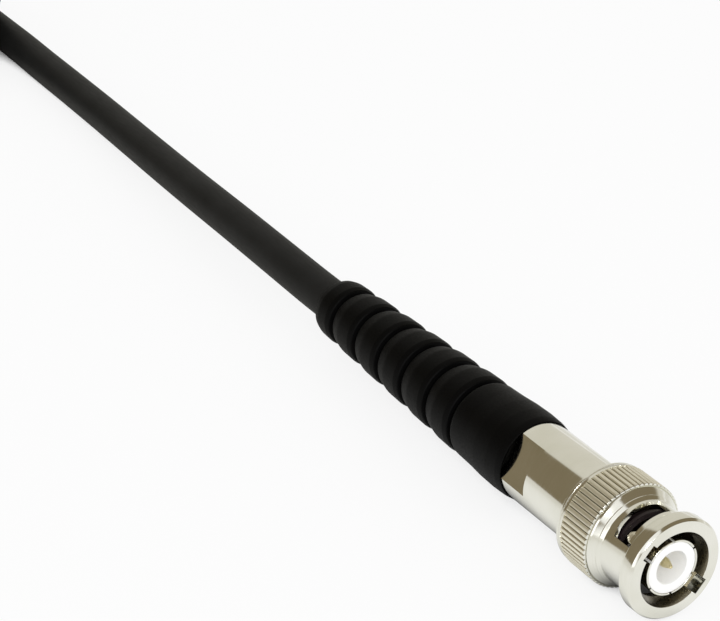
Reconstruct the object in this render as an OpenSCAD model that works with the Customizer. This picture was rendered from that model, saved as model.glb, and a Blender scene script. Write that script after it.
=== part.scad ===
// Passive oscilloscope probe: a male BNC plug with its boot, a coaxial lead and a probe head.
// Origin: centre of the plug's outer contact at its front rim. +X leaves the plug towards the jack, +Z is up.
// The knurl of the coupling nut, the folded lead and the finger guard of the head rest on one flat surface.

/* [Coupling nut] */
// Radius of the front flange
flange_r = 7.3; // [6.8:0.05:7.6]
// Length of the front flange
flange_len = 2.25; // [1.8:0.05:2.6]
// Radius over the knurl
knurl_r = 7.7; // [7.6:0.05:7.9]
// Number of knurl grooves
knurl_count = 62; // [40:1:72]
// Radius of the neck between flange and knurl
neck_r = 6.2; // [6.0:0.05:6.6]
// Radius of the bore that takes the jack
nut_bore_r = 4.95; // [4.9:0.01:5.0]
// Width of an entry notch
notch_w = 2.3; // [2.1:0.1:2.6]
// How far the nut slides forward against its spring
nut_travel = 1; // [0.5:0.1:1]

/* [Plug] */
// Outer radius of the slotted contact
contact_r = 4.05; // [4.0:0.01:4.1]
// Radius of the centre pin
pin_r = 0.675; // [0.65:0.005:0.7]
// Radius of the barrel
barrel_r = 6; // [5.9:0.05:6.1]
// Distance across the two wrench flats
flats_across = 9.8; // [9:0.1:11]
// Position of the barrel's rear face behind the contact's rim
barrel_end = 31; // [30:0.5:32]

/* [Strain relief] */
// Position of the boot's front lip behind the contact's rim
boot_front = 30.1; // [29:0.1:30.5]
// Length of the boot
boot_len = 53.5; // [50:0.1:60]
// Number of ring beads
bead_count = 6; // [4:1:8]
// Pitch of the ring beads
bead_pitch = 6.97; // [6:0.01:7]

/* [Lead] */
// Outer radius of the cable
cable_r = 3.25; // [3:0.05:3.25]
// Length of the straight part of each run in the hank
run_len = 98; // [95:1:100]
// Step from loop to loop in the hank
loop_step = 7.4; // [7.1:0.1:8.5]
// How far the runs are drawn in at the waist
waist_in = 12; // [6:0.5:12]
// Radius of the innermost fold
fold_r = 19.5; // [19.5:0.5:22]

/* [Probe head] */
// Radius of the handle
handle_r = 6.5; // [6.2:0.1:7]
// Radius of the finger guard
guard_r = 7.7; // [7.7:0.1:8]
// Radius of the ground barrel at the nose
ground_r = 2.75; // [2.6:0.05:3]
// Radius of the probe needle
needle_r = 0.5; // [0.4:0.05:0.6]
// Travel of the attenuation switch
switch_travel = 3; // [2:0.5:3]

/* [Hidden] */
$fn = 96;
gap = 0.03;      // assembly clearance between pieces of one body
run_gap = 0.06;  // radial clearance of a running fit
floor_z = -knurl_r;

// Nut stations along X
flange_front = 0.55;
flange_back = flange_front - flange_len;
rim_front = -8.45;
rim_r = 7.25;
knurl_front = -8.6;
knurl_back = -13.8;
nut_back = -15;
chamber_front = -9;
chamber_back = -12.7;
chamber_r = 6.75;
groove_depth = 0.27;
notch_angle = 137.5;
notch_r = 6.1;
cam_r = 5.7;
cam_back = -6.95;
// Stretches of the cam slot: from angle, to angle, station of the front edge, station of the rear edge
cam_edge = [[66, 86, -3.7, -6.6], [85, 104, -3.4, -6.45], [103, 127, -3.15, -6.15], [126, 142.5, -3.6, -5.9],
    [142, 146.5, -2.3, -5.65]];

// Body stations along X
spigot_front = -6.95;
land_front = -9.1;
ring_front = -9.4;
ring_back = -10.4;
ring_r = 6.65;
flat_front = -24.75;
flat_angle = 151.5;
contact_back = -12;
contact_wall = 0.3;
slot_len = 4.8;
slot_w = 0.35;
stem_back = -40.2;
pin_shoulder = -8.5;

// Boot stations along X
boot_end = -(boot_front + boot_len);
first_groove = -43.7;
bead_first_r = 6.05;
bead_drop = 0.243;

// Cable stations along X: leaves the boot, enters and leaves the hank, enters the head
hank_entry = -232;
hank_exit = -354;
fold_right = -244;
fold_left = fold_right - run_len;
head_x = -388;
head_y = 1.8;
lane_y = 6.3;
head_z = 0;
outer_lane = fold_r + 1.25 * loop_step;
hank_y = lane_y - outer_lane;
low_z = floor_z + cable_r;
layer_step = 2 * cable_r + 0.6;
tie_thick = 1;
tie_len = 11;
tie_lift = tie_thick + 0.3;
half_turns = 7;

// Routes of the free stretches, chosen by hand
run_route = [[boot_end, 0, 0], [-92, 0, 0], [-105, 0.4, -0.2], [-120, 1, -0.6], [-135, 1.8, -1.3],
    [-150, 2.9, -2.2], [-165, 4, -3], [-180, 5, -3.7], [-195, 5.7, -4.2], [-210, 6.1, low_z],
    [-220, lane_y, low_z], [hank_entry, lane_y, low_z]];
lead_route = [[hank_exit, lane_y, low_z + layer_step], [-359, 5.97, 2.45], [-364, 5.13, 1.96],
    [-369, 4.05, 1.33], [-374, 2.97, 0.69], [-379, 2.13, 0.2], [-384, head_y, 0], [head_x, head_y, head_z]];

// Head stations, measured from the cable's entry towards the needle
shell_start = 14;
shell_shoulder = 20;
cavity_from = 27;
cavity_to = 74.6;
cavity_r = 5.1;
shell_end = 81.5;
guard_from = 75.7;
guard_len = 3;
nose_end = 107.9;
ground_end = 115;
ground_tube_r = 2.5;
shank_r = 0.3;
needle_end = 125;
board_from = 30;
board_to = 74;
board_top = -0.35;
board_thick = 0.9;
switch_at = 47;
trimmer_at = 36.5;
knob_half = 2.8;

// Turns a shape that is built along Z so that it lies along X, with polar angles measured from +Y to +Z.
module along_x() { rotate([0, 90, 0]) rotate([0, 0, 90]) children(); }

// A turned piece about the X axis from [x, radius] points.
module turned(points) { along_x() rotate_extrude() polygon([for (p = points) [p[1], p[0]]]); }

// A plain round bar or bore about the X axis.
module bar(x0, x1, r, sides = $fn) {
    along_x() translate([0, 0, min(x0, x1)]) cylinder(h = abs(x1 - x0), r = r, $fn = sides);
}

// A tube about the X axis.
module tube(x0, x1, outer, inner) {
    difference() {
        bar(x0, x1, outer);
        bar(min(x0, x1) - 1, max(x0, x1) + 1, inner);
    }
}

// A wedge about the X axis between two angles.
module wedge(x0, x1, from, to, r) {
    step = (to - from) / 4;
    along_x() translate([0, 0, min(x0, x1)]) linear_extrude(abs(x1 - x0))
        polygon(concat([[0, 0]],
            [for (i = [0:4]) 1.5 * r * [cos(from + i * step), sin(from + i * step)]]));
}

// A radial bar: a key or slot of width w from the axis out to radius r at one angle.
module key(x0, x1, w, r, angle) {
    along_x() rotate([0, 0, angle]) translate([0, -w / 2, min(x0, x1)]) cube([r, w, abs(x1 - x0)]);
}

// A piece of the head: u runs from the cable's entry to the needle.
module in_head() { translate([head_x, head_y, head_z]) children(); }
module head_turned(points) { in_head() turned([for (p = points) [-p[0], p[1]]]); }
module head_bar(u0, u1, r, sides = $fn) { in_head() bar(-u1, -u0, r, sides); }

function unit(v) = v / norm(v);
function heading(path, i) = unit(path[min(i + 1, len(path) - 1)] - path[max(i - 1, 0)]);
function ring_at(path, i, r, sides) =
    let (ahead = i == 0 || i == len(path) - 1 ? [-1, 0, 0] : heading(path, i),
        side = unit(cross([0, 0, 1], ahead)), up = cross(ahead, side))
    [for (k = [0:sides - 1]) let (turn = 360 * (k + 0.5) / sides)
        path[i] + r * (cos(turn) * side + sin(turn) * up)];

// One closed tube along a path, with flat ends square to X.
module swept(path, r, sides) {
    rings = len(path);
    points = [for (i = [0:rings - 1]) each ring_at(path, i, r, sides)];
    walls = [for (i = [0:rings - 2], k = [0:sides - 1])
        let (a = i * sides + k, b = i * sides + (k + 1) % sides)
        each [[a, b + sides, b], [a, a + sides, b + sides]]];
    last = (rings - 1) * sides;
    caps = [for (k = [1:sides - 2]) each [[0, k, k + 1], [last, last + k + 1, last + k]]];
    polyhedron(points = points, faces = concat(walls, caps));
}

// The hank: half turn k runs along one side and then folds round to the next run.
function lane(k) = outer_lane - loop_step * (k <= 3 ? k / 2 : 3 - k / 2);
function smooth(t) = t * t * (3 - 2 * t);
function climbed(k, t) = k < 3 ? 0 : k > 3 ? 1 : smooth(t);
waist_x = (fold_left + fold_right) / 2;
function waist(x) = (1 + cos(360 * (x - waist_x) / run_len)) / 2;
function run_point(k, t) =
    let (side = k % 2 == 0 ? 1 : -1, x = side > 0 ? fold_right - t * run_len : fold_left + t * run_len)
    [x, hank_y + side * (lane(k) - waist_in * waist(x)),
        low_z + layer_step * climbed(k, t) + tie_lift * waist(x)];
function fold_point(k, t) =
    let (side = k % 2 == 0 ? 1 : -1, r = (lane(k) + lane(k + 1)) / 2, middle = hank_y + side * (lane(k) - r))
    [side > 0 ? fold_left - r * sin(180 * t) : fold_right + r * sin(180 * t),
        middle + side * r * cos(180 * t), low_z + layer_step * climbed(k, 1)];
run_steps = 5;
fold_steps = 7;
hank_path = concat([[hank_entry, lane_y, low_z], [hank_entry - 2 * cable_r, lane_y, low_z]],
    [for (k = [0:half_turns - 1]) each concat(
        [for (i = [0:run_steps - 1]) run_point(k, i / run_steps)],
        k == half_turns - 1 ? [run_point(k, 1)]
            : [for (i = [0:fold_steps - 1]) fold_point(k, i / fold_steps)])],
    [[hank_exit + 2 * cable_r, lane_y, low_z + layer_step], [hank_exit, lane_y, low_z + layer_step]]);

// Least distance from a point to a stretch between two points.
function to_stretch(p, a, b) = let (d = b - a, t = max(0, min(1, (p - a) * d / (d * d)))) norm(p - a - t * d);
least_far = 4;
hank_gap = min([for (i = [0:len(hank_path) - 1], j = [i + least_far:len(hank_path) - 2])
    if (j + 1 < len(hank_path)) to_stretch(hank_path[i], hank_path[j], hank_path[j + 1])]) - 2 * cable_r;
function path_len(path, i = 1) = i < len(path) ? norm(path[i] - path[i - 1]) + path_len(path, i + 1) : 0;
echo(least_gap_of_hank_mm = hank_gap);
echo(cable_length_mm = path_len(run_route) + path_len(hank_path) + path_len(lead_route));

// ---- Plug ----

module coupling_nut() color("silver") difference() {
    turned(concat([[flange_front, nut_bore_r + 0.5], [flange_front, flange_r - 0.35],
        [flange_front - 0.3, flange_r], [flange_back + 0.2, flange_r], [flange_back, flange_r - 0.2],
        [flange_back, neck_r + 0.4],
        [flange_back - 0.12, neck_r + 0.12], [flange_back - 0.4, neck_r]],
        [for (a = [90:-22.5:0]) [rim_front, rim_r] + (rim_r - neck_r) * [1 - cos(a), -sin(a)]],
        [[rim_front, rim_r + 0.1], [knurl_front, knurl_r], [knurl_back, knurl_r],
        [knurl_back - 0.1, knurl_r - 0.1], [nut_back + 0.65, knurl_r - 0.1], [nut_back + 0.65, knurl_r - 0.3],
        [nut_back, knurl_r - 0.5], [nut_back, barrel_r + run_gap],
        [chamber_back, barrel_r + run_gap], [chamber_back, chamber_r], [chamber_front, chamber_r],
        [chamber_front, nut_bore_r], [cam_back, nut_bore_r], [cam_back, cam_r], [flange_back + 0.1, cam_r],
        [flange_back + 0.1, nut_bore_r]]));
    for (i = [0:knurl_count - 1]) along_x() rotate([0, 0, i * 360 / knurl_count])
        translate([knurl_r, 0, knurl_back - 0.05]) rotate([0, 0, 45])
            translate([-groove_depth, -groove_depth, 0] * sqrt(0.5))
                cube([groove_depth * sqrt(2), groove_depth * sqrt(2), knurl_front - knurl_back + 0.3]);
    for (half = [0, 180]) {
        intersection() {
            tube(flange_back + 0.05, flange_front + 1, notch_r, nut_bore_r - 0.5);
            key(flange_back + 0.05, flange_front + 1, notch_w, 9, notch_angle + half);
        }
        for (part = cam_edge) intersection() {
            tube(part[3], part[2], neck_r + 1, nut_bore_r - 0.5);
            wedge(part[3], part[2], part[0] + half, part[1] + half, neck_r + 1);
        }
    }
}

module outer_contact() color("gainsboro") difference() {
    rotate([7.5, 0, 0]) turned([[0, contact_r], [-6.05, contact_r], [-6.05, contact_r - 0.05],
        [-7, contact_r - 0.05], [-7, contact_r + 0.25], [contact_back, contact_r + 0.25],
        [contact_back, contact_r - contact_wall],
        [0, contact_r - contact_wall]]);
    for (a = [30, 90, 150]) along_x() rotate([0, 0, a]) translate([-5, -slot_w / 2, -slot_len])
        cube([10, slot_w, slot_len + 1]);
}

module front_insulator() color("white") turned([
    [-0.05, contact_r - contact_wall - gap], [-0.05, 2.4], [-5.3, 2.4],
    [-5.3, pin_r + 0.05], [pin_shoulder + 0.05, pin_r + 0.05],
    [pin_shoulder + 0.05, contact_r - contact_wall - gap]]);

module centre_pin() color("goldenrod") turned([
    [-0.15, 0], [-0.2, 0.2], [-0.5, 0.45], [-1, 0.62], [-1.5, pin_r], [pin_shoulder, pin_r],
    [pin_shoulder, 1.1], [-9.7, 1.1], [-9.7, 1], [-14.5, 1], [-14.5, 0.45], [-10.3, 0.45], [-10.3, 0]]);

module rear_insulator() color("white") turned([
    [pin_shoulder, contact_r - contact_wall - gap], [pin_shoulder, 1.15], [-9.75, 1.15], [-9.75, 1.05],
    [-14.6, 1.05], [-14.6, contact_r - contact_wall - gap]]);

module gasket() color([0.1, 0.07, 0.07]) turned([
    [-5.3, 4.6], [-5.3, 5.4], [-5.8, 5.4], [-5.8, nut_bore_r - 0.1], [-6.9, nut_bore_r - 0.1], [-6.9, 4.6]]);

module plug_body() color("silver") difference() {
    turned([[spigot_front, nut_bore_r - 0.08], [land_front, nut_bore_r - 0.08], [land_front, 5.6],
        [ring_front, 5.6], [ring_front, 5.3], [ring_back, 5.3], [ring_back, barrel_r],
        [-barrel_end, barrel_r], [-barrel_end, 2.6],
        [stem_back, 2.6], [stem_back, 1.9], [-14.7, 1.9], [-14.7, contact_r - contact_wall],
        [contact_back - 0.05, contact_r - contact_wall], [contact_back - 0.05, contact_r + 0.25 + gap],
        [spigot_front, contact_r + 0.25 + gap]]);
    for (half = [0, 180]) along_x() rotate([0, 0, flat_angle + half])
        translate([flats_across / 2, -10, -barrel_end - 1]) cube([10, 20, barrel_end + 1 + flat_front]);
}

module retaining_ring() color("dimgray") difference() {
    tube(ring_back + gap, ring_front - gap, ring_r, 5.35);
    key(ring_back, ring_front, 2, 9, 270);
}

// A ring of thin spring steel whose height goes up and down three times round.
spring_thick = 0.25;
spring_low = chamber_back + 0.43;
spring_mid = (ring_back + spring_low) / 2;
spring_swing = (ring_back - spring_low - spring_thick) / 2 - 0.06;
function spring_corner(turn, r, x) =
    [x + spring_mid + spring_swing * cos(3 * turn), r * cos(turn), r * sin(turn)];

module wave_spring() color("dimgray") {
    steps = 48;
    inner = barrel_r + 0.12;
    half = spring_thick / 2;
    points = [for (i = [0:steps - 1]) let (turn = 360 * i / steps) each [spring_corner(turn, inner, -half),
        spring_corner(turn, ring_r, -half), spring_corner(turn, ring_r, half),
        spring_corner(turn, inner, half)]];
    faces = [for (i = [0:steps - 1], k = [0:3])
        let (a = 4 * i + k, b = 4 * i + (k + 1) % 4, ahead = 4 * ((i + 1) % steps),
            c = ahead + (k + 1) % 4, d = ahead + k)
        each [[a, b, c], [a, c, d]]];
    polyhedron(points = points, faces = faces);
}

module thrust_washer() color("gainsboro")
    tube(chamber_back + 0.05, chamber_back + 0.43, ring_r, barrel_r + 0.08);

module crimp_ferrule() color("silver") difference() {
    bar(-40, -barrel_end - 0.1, 4.1, 6);
    bar(-41, -barrel_end, 3.03);
}

module plug_braid() color("lightgray") turned([
    [-31.1, 2.63], [-31.1, 3], [stem_back, 3], [-41.2, 2.3], [-45.9, 2.3], [-45.9, 1.9], [-41.2, 1.9],
    [stem_back - 0.1, 2.6], [stem_back, 2.63]]);

module plug_dielectric() color("ivory") tube(-45.9, -14.75, 1.87, 0.43);

module plug_conductor() color("peru") bar(-45.9, -10.4, 0.4);

module plug_jacket() color("dimgray") turned([
    [-40.4, cable_r], [boot_end, cable_r], [boot_end, 0], [-45.95, 0], [-45.95, 2.35], [-41.3, 2.35],
    [-40.4, 3.05]]);

// Outside of one ring bead: steep beside the plug-side groove, then falling gently towards the cable.
function bead_radius(i, t) = bead_first_r - bead_drop * (i + 0.8 * t)
    - 0.95 * pow(max(0, 1 - t / 0.18), 2) - 0.7 * pow(max(0, (t - 0.84) / 0.16), 2);
bead_steps = 12;
bead_ring = [for (i = [0:bead_count - 1], s = [0:bead_steps])
    [first_groove - bead_pitch * (i + (s + 0.5) / (bead_steps + 1)), bead_radius(i, s / bead_steps)]];

module plug_boot() color([0.07, 0.07, 0.07]) turned(concat(
    [[-boot_front, barrel_r + gap], [-boot_front, 6.12], [-boot_front - 0.4, 6.3], [-32.5, 6.42], [-35.5, 6.4],
        [-37, 6.3], [-38.5, 6.16], [first_groove + 1.2, 6.12], [first_groove + 0.6, 5.95]],
    [for (p = bead_ring) if (p[0] > boot_end + 0.3) p],
    [[boot_end + 0.25, bead_radius(bead_count - 1, 1) + 0.25], [boot_end, bead_radius(bead_count - 1, 1) - 0.2],
        [boot_end, cable_r + gap], [-41.2, cable_r + gap], [-41.2, 4.2], [-barrel_end - 0.1, 4.2],
        [-barrel_end - 0.1, barrel_r + gap]]));

// ---- Lead ----

module cable_run() color("dimgray") swept(run_route, cable_r, 10);

module cable_hank() color("dimgray") swept(hank_path, cable_r, 6);

module cable_lead() color("dimgray") swept(lead_route, cable_r, 10);

// A rectangle with round corners, from its low and high corners.
module rounded(low, high, r) {
    translate(low + [r, 0]) square([high[0] - low[0] - 2 * r, high[1] - low[1]]);
    translate(low + [0, r]) square([high[0] - low[0], high[1] - low[1] - 2 * r]);
    for (x = [low[0] + r, high[0] - r], y = [low[1] + r, high[1] - r])
        translate([x, y]) circle(r = r, $fn = 48);
}

module hank_tie() color("black") {
    pinch = waist(waist_x + run_len / 10);
    low = [hank_y - lane(1) + waist_in * pinch - cable_r - 0.1, floor_z + tie_thick];
    high = [hank_y + lane(0) - waist_in * pinch + cable_r + 0.1,
        low_z + tie_lift * pinch + layer_step + cable_r + 0.1];
    wall = tie_thick * [1, 1];
    translate([waist_x - tie_len / 2, 0, 0]) rotate([90, 0, 90]) linear_extrude(tie_len) difference() {
        rounded(low - wall, high + wall, 4);
        rounded(low, high, 3);
    }
}

// ---- Probe head ----

module head_boot() color([0.07, 0.07, 0.07]) head_turned([[0, cable_r + gap], [0, 3.9], [0.5, 4.2], [3, 4.3],
    [3.4, 3.8], [4.2, 3.8], [4.6, 4.45], [7, 4.55], [7.4, 4.05], [8.2, 4.05], [8.6, 4.75], [11, 4.85], [11.4, 4.4],
    [12.2, 4.4], [12.6, 5.15], [18.5, 5.6], [shell_shoulder - gap, 5.6], [shell_shoulder - gap, 4.43],
    [shell_start - 0.1, 4.43], [shell_start - 0.1, cable_r + gap]]);

module head_jacket() color("dimgray")
    head_turned([[0, 0], [0, cable_r], [26, cable_r], [26, 1.9], [20, 1.9], [20, 0]]);

module cable_clamp() color("silver") in_head() tube(-25, -21, 4.2, cable_r + gap);

module head_dielectric() color("ivory") in_head() tube(-29.5, -20.05, 1.87, 0.33);

module head_conductor() color("peru") head_bar(20.05, 33, 0.3);

// The handle's outside with its hollow, before it is split into two shells.
module handle() difference() {
    head_turned([[shell_start, 0], [shell_start, 4.4], [shell_shoulder, 4.4], [shell_shoulder, 5.6], [25, handle_r],
        [60, handle_r], [cavity_to + 0.9, 5.8], [cavity_to + 0.9, 4.6], [shell_end, 4.6], [shell_end, 0]]);
    head_bar(shell_start - 1, cavity_from + 1, cable_r + 0.1);
    head_bar(20.9, 25.1, 4.25);
    head_bar(cavity_from, cavity_to, cavity_r);
    head_bar(cavity_to - 1, shell_end + 1, ground_tube_r + gap);
    for (u = [62:2.4:72]) in_head() difference() {
        bar(-u - 0.5, -u + 0.5, 9);
        bar(-u - 1, -u + 1, handle_r - 0.4 - 0.045 * (u - 60));
    }
}

module half_space(up) { in_head() translate([-90, -12, up ? 0.02 : -24.02]) cube([90, 24, 24]); }

module shell_upper() color([0.16, 0.16, 0.17]) difference() {
    intersection() { handle(); half_space(true); }
    in_head() translate([-switch_at - knob_half - switch_travel - 0.4, -1.8, 3])
        cube([2 * knob_half + switch_travel + 0.8, 3.6, 6]);
    in_head() translate([-trimmer_at, 0, 3]) cylinder(h = 6, r = 1.4, $fn = 48);
}

module shell_lower() color([0.16, 0.16, 0.17]) {
    intersection() { handle(); half_space(false); }
    for (u = [40, 56, 71]) intersection() {
        head_bar(u, u + 1.2, cavity_r + 0.3);
        in_head() translate([-90, -6, -6]) cube([90, 12, 6 + board_top - board_thick - gap]);
    }
}

module nose_sleeve() color([0.3, 0.3, 0.31]) head_turned([[guard_from, 4.65], [guard_from, guard_r - 0.8],
    [guard_from + 0.4, guard_r - 0.2], [guard_from + 0.9, guard_r], [guard_from + guard_len - 0.9, guard_r],
    [guard_from + guard_len - 0.3, guard_r - 0.3], [guard_from + guard_len, guard_r - 0.9],
    [guard_from + guard_len + 0.3, 6.3], [guard_from + guard_len + 1.5, 5.75], [90, 4.7], [100, 3.9],
    [nose_end - 1, 3.6], [nose_end, 3.2], [nose_end, ground_tube_r + gap],
    [shell_end + 0.1, ground_tube_r + gap], [shell_end + 0.1, 4.65]]);

module ground_barrel() color("silver") head_turned([[board_to + 0.05, 1.95], [board_to + 0.05, ground_tube_r],
    [nose_end + 0.2, ground_tube_r], [nose_end + 0.2, ground_r], [ground_end, ground_r], [ground_end, 1.95]]);

module tip_insulator() color("whitesmoke") head_turned([[104, shank_r + gap], [104, 1.92], [ground_end, 1.92],
    [117, 1.92], [118.5, 1.2], [118.5, shank_r + gap]]);

module probe_tip() color("goldenrod") head_turned([[112, 0], [112, shank_r], [118.6, shank_r],
    [118.6, needle_r], [needle_end - 2, needle_r], [needle_end - 0.1, 0.12], [needle_end, 0]]);

module circuit_board() color("darkgreen") in_head() translate([-board_to, -4.2, board_top - board_thick])
    cube([board_to - board_from, 8.4, board_thick]);

module tip_resistor() color("tan") union() {
    head_bar(70, 92.1, 0.25);
    head_turned([[92, 0], [92, 0.9], [92.5, 1.15], [93.5, 1.15], [94, 1], [96.5, 1], [97, 1.15], [98, 1.15],
        [98.5, 0.9], [98.5, 0]]);
    head_bar(98.4, 111.95, 0.25);
}

module switch_body() color("dimgray") in_head() difference() {
    translate([-switch_at - switch_travel - 3.4, -2.4, board_top + 0.05]) cube([switch_travel + 6.8, 4.8, 2.2]);
    translate([-switch_at - switch_travel - 1.5, -1, board_top + 1]) cube([switch_travel + 3, 2, 3]);
}

module switch_knob() color("gainsboro") in_head() union() {
    translate([-switch_at - 1.2, -0.7, board_top + 1.3]) cube([2.4, 1.4, 3]);
    translate([-switch_at - 7, -2.2, 3.1]) cube([14, 4.4, 0.9]);
    difference() {
        translate([-switch_at - knob_half, -1.5, 3.9]) cube([2 * knob_half, 3, handle_r + 0.8 - 3.9]);
        for (i = [-2:2]) translate([-switch_at + i - 0.2, -2, handle_r + 0.45]) cube([0.4, 4, 1]);
    }
}

module trimmer_body() color("wheat") in_head() translate([-trimmer_at, 0, board_top + 0.05]) difference() {
    cylinder(h = 2.2, r = 2.3, $fn = 64);
    translate([0, 0, 0.6]) cylinder(h = 3, r = 0.8 + run_gap, $fn = 48);
}

module trimmer_screw() color("gold") in_head() translate([-trimmer_at, 0, board_top]) difference() {
    union() {
        translate([0, 0, 0.8]) cylinder(h = 1.7, r = 0.8, $fn = 48);
        translate([0, 0, 2.45]) cylinder(h = 0.9, r = 1.2, $fn = 48);
    }
    translate([-2, -0.2, 2.9]) cube([4, 0.4, 1]);
}

coupling_nut();
outer_contact();
front_insulator();
centre_pin();
rear_insulator();
gasket();
plug_body();
retaining_ring();
wave_spring();
thrust_washer();
crimp_ferrule();
plug_braid();
plug_dielectric();
plug_conductor();
plug_jacket();
plug_boot();
cable_run();
cable_hank();
hank_tie();
cable_lead();
head_boot();
head_jacket();
cable_clamp();
head_dielectric();
head_conductor();
shell_upper();
shell_lower();
nose_sleeve();
ground_barrel();
tip_insulator();
probe_tip();
circuit_board();
tip_resistor();
switch_body();
switch_knob();
trimmer_body();
trimmer_screw();
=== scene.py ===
"""Dresses the oscilloscope probe: plug, strain relief, folded lead and probe head, in the frame's axes.

Sizes in the classes are millimetres, and MM turns them into metres. A turned piece is a profile of
(x, radius) corners spun about the X axis, and an angle about that axis is measured from +Y towards +Z.
"""
import logging
import math
from dataclasses import dataclass, field
from enum import Enum
from functools import partial
from typing import Callable, Iterable, NamedTuple

import bmesh
import bpy
from bmesh.types import BMesh, BMVert
from bpy.types import Material, Mesh, NodeSocket, NodeTree, Object, World
from mathutils import Matrix, Vector


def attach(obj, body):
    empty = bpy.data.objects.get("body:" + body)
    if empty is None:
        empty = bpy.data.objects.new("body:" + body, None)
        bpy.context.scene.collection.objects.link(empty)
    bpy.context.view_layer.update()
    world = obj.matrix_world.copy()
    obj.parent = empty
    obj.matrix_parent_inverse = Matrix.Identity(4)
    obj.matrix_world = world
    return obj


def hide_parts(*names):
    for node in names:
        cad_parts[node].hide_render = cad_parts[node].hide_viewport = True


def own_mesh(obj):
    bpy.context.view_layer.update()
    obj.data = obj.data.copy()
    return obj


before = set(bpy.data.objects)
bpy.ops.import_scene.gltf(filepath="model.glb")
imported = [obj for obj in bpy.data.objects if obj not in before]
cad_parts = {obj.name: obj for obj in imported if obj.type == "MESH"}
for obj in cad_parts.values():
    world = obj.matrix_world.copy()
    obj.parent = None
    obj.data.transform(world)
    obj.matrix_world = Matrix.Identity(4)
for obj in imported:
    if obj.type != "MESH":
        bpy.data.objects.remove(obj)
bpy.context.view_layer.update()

Pair = tuple[float, float]
Triple = tuple[float, float, float]
Colour = tuple[float, float, float, float]

LOG = logging.getLogger("probe")
MM = 0.001
# Edges that turn more than this stay sharp, and corners nearer than this, in millimetres, are one.
SHARP = math.radians(28.0)
NEAR = 1e-4
# The surface that the probe lies on, in millimetres.
FLOOR_Z = -7.7
# The plug's flats, notches and cam slots come in pairs, half a turn apart, in degrees.
HALVES = (0.0, 180.0)


# ---- profiles and meshes


class Corner(NamedTuple):
    """A corner of a turned profile: a place along the axis, a radius and how far the corner is rounded."""

    x: float
    r: float
    round: float = 0.0


class Shape(Enum):
    """How a profile is joined up: RING goes round a hollow, and SOLID starts and ends on the axis."""

    RING = "ring"
    SOLID = "solid"


def rounded(corners: Iterable[tuple], shape: Shape, steps: int = 4) -> list[Vector]:
    """Rounds the corners of a profile with arcs.

    Args:
        corners: the profile's corners in order, each as the values of a Corner.
        shape: whether the last corner joins the first.
        steps: how many edges an arc has.

    Returns:
        The profile's points, as vectors of (x, radius, 0).
    """
    listed = [Corner(*values) for values in corners]
    spots = [Vector((c.x, c.r, 0.0)) for c in listed]
    sizes = [c.round for c in listed]
    count = len(spots)
    points: list[Vector] = []
    for i, here in enumerate(spots):
        ends = shape is Shape.SOLID and i in (0, count - 1)
        if ends or sizes[i] <= 0.0:
            points.append(here)
            continue
        before = (spots[i - 1] - here).normalized()
        after = (spots[(i + 1) % count] - here).normalized()
        half = before.angle(after) / 2.0
        reach = sizes[i] / math.tan(half)
        centre = here + (before + after).normalized() * (sizes[i] / math.sin(half))
        start = here + before * reach - centre
        finish = here + after * reach - centre
        sweep = start.angle(finish)
        for k in range(steps + 1):
            t = k / steps
            mix = (start * math.sin((1.0 - t) * sweep) + finish * math.sin(t * sweep)) / math.sin(sweep)
            points.append(centre + mix)
    return points


def turned(corners: Iterable[tuple], shape: Shape, facets: int = 128, arc: int = 4) -> BMesh:
    """Rounds a profile's corners and spins it once round the X axis.

    Args:
        corners: the profile's corners in order, each as the values of a Corner.
        shape: whether the last corner joins the first.
        facets: how many facets go round.
        arc: how many edges a rounded corner has.

    Returns:
        A closed mesh in millimetres.
    """
    bm = bmesh.new()
    verts = [bm.verts.new(p) for p in rounded(corners, shape, arc)]
    pairs = list(zip(verts, verts[1:]))
    if shape is Shape.RING:
        pairs.append((verts[-1], verts[0]))
    edges = [bm.edges.new(pair) for pair in pairs]
    bmesh.ops.spin(bm, geom=verts + edges, cent=(0, 0, 0), axis=(1, 0, 0), dvec=(0, 0, 0),
                   angle=2.0 * math.pi, steps=facets, use_merge=True)
    tidy(bm)
    return bm


def tidy(bm: BMesh) -> None:
    """Merges doubled corners and turns every face outwards.

    Args:
        bm: the mesh, in millimetres.
    """
    bmesh.ops.remove_doubles(bm, verts=bm.verts, dist=NEAR)
    bmesh.ops.dissolve_degenerate(bm, edges=bm.edges, dist=NEAR * 0.1)
    bmesh.ops.recalc_face_normals(bm, faces=bm.faces)


def as_mesh(bm: BMesh, name: str = "spare") -> Mesh:
    """Turns a bmesh into a mesh.

    Args:
        bm: the bmesh, which is freed.
        name: the mesh's name.

    Returns:
        The mesh.
    """
    mesh = bpy.data.meshes.new(name)
    bm.to_mesh(mesh)
    bm.free()
    return mesh


def placed(name: str, data: bpy.types.ID) -> Object:
    """Makes an object and links it to the scene.

    Args:
        name: the object's name.
        data: its mesh, curve, camera or light.

    Returns:
        The object.
    """
    made = bpy.data.objects.new(name, data)
    bpy.context.scene.collection.objects.link(made)
    return made


def block(low: Vector, high: Vector, turn: float) -> BMesh:
    """Makes a box between two corners and turns it about the X axis.

    Args:
        low: the lowest corner.
        high: the highest corner.
        turn: the angle about X, in degrees.

    Returns:
        The box, as a mesh in millimetres.
    """
    bm = bmesh.new()
    size = high - low
    place = Matrix.Rotation(math.radians(turn), 4, "X") @ Matrix.Translation((low + high) / 2.0)
    bmesh.ops.create_cube(bm, size=1.0, matrix=place @ Matrix.Diagonal((*size, 1.0)))
    return bm


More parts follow.
